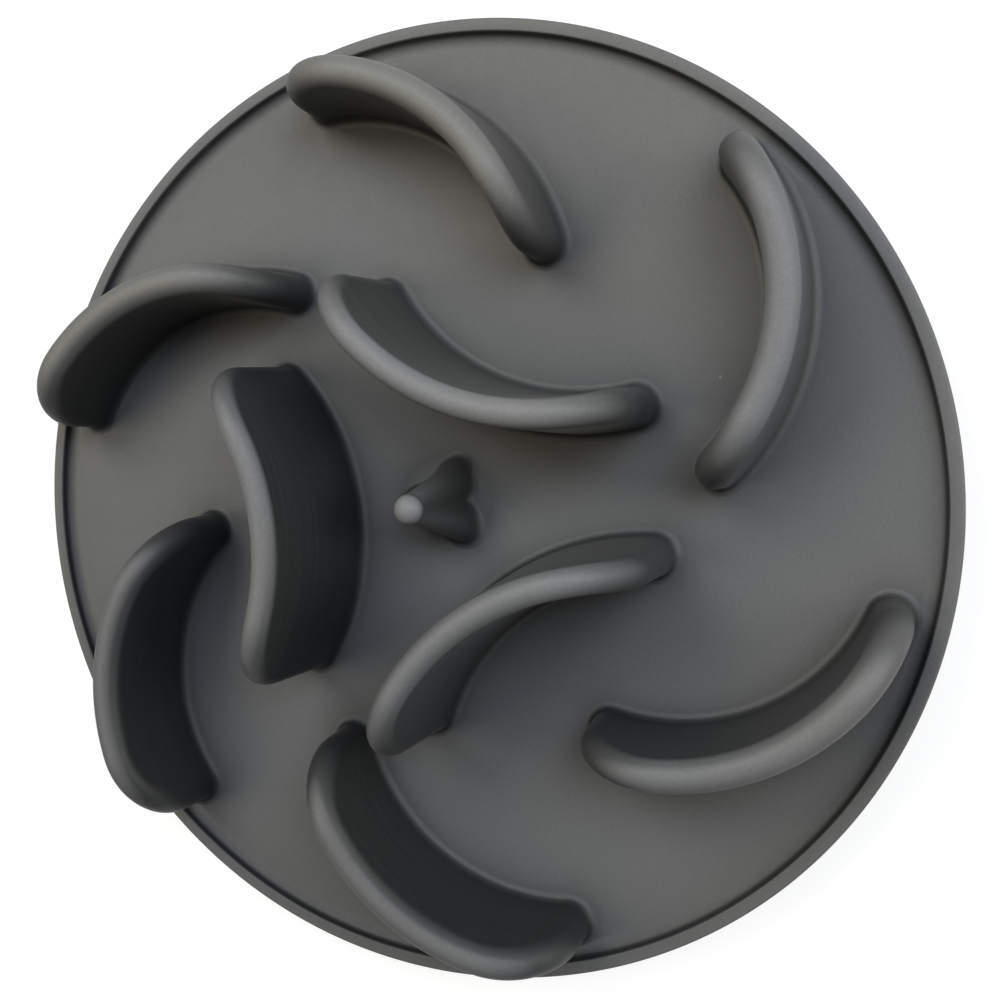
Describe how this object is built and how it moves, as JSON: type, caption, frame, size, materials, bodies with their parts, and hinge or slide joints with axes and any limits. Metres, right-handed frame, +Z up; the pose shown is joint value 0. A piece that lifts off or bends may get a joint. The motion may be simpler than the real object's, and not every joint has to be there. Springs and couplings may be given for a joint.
{
  "type": "slow feeder bowl insert",
  "caption": "Round silicone insert for a pet bowl: a lipped disc with swirling outer fins, taller inner fins and a lobed centre peg that slow eating, held by suction cups below.",
  "frame": {"origin": "middle of the plane that the suction cups rest on, on the disc's axis", "axes": "+Z up along the disc's axis, out of the fins' side; +Y through the middle of the first inner fin"},
  "size_m": [0.17, 0.17, 0.0404],
  "materials": {
    "silicone": "matte"
  },
  "bodies": {
    "root": {"base_disc": "silicone", "rim_lip": "silicone", "outer_fin_1": "silicone", "outer_fin_2": "silicone", "outer_fin_3": "silicone", "outer_fin_4": "silicone", "outer_fin_5": "silicone", "outer_fin_6": "silicone", "inner_fin_1": "silicone", "inner_fin_2": "silicone", "inner_fin_3": "silicone", "centre_peg": "silicone", "suction_cup_centre": "silicone", "suction_cup_1": "silicone", "suction_cup_2": "silicone", "suction_cup_3": "silicone", "suction_cup_4": "silicone", "suction_cup_5": "silicone", "suction_cup_6": "silicone"}
  },
  "joints": []
}
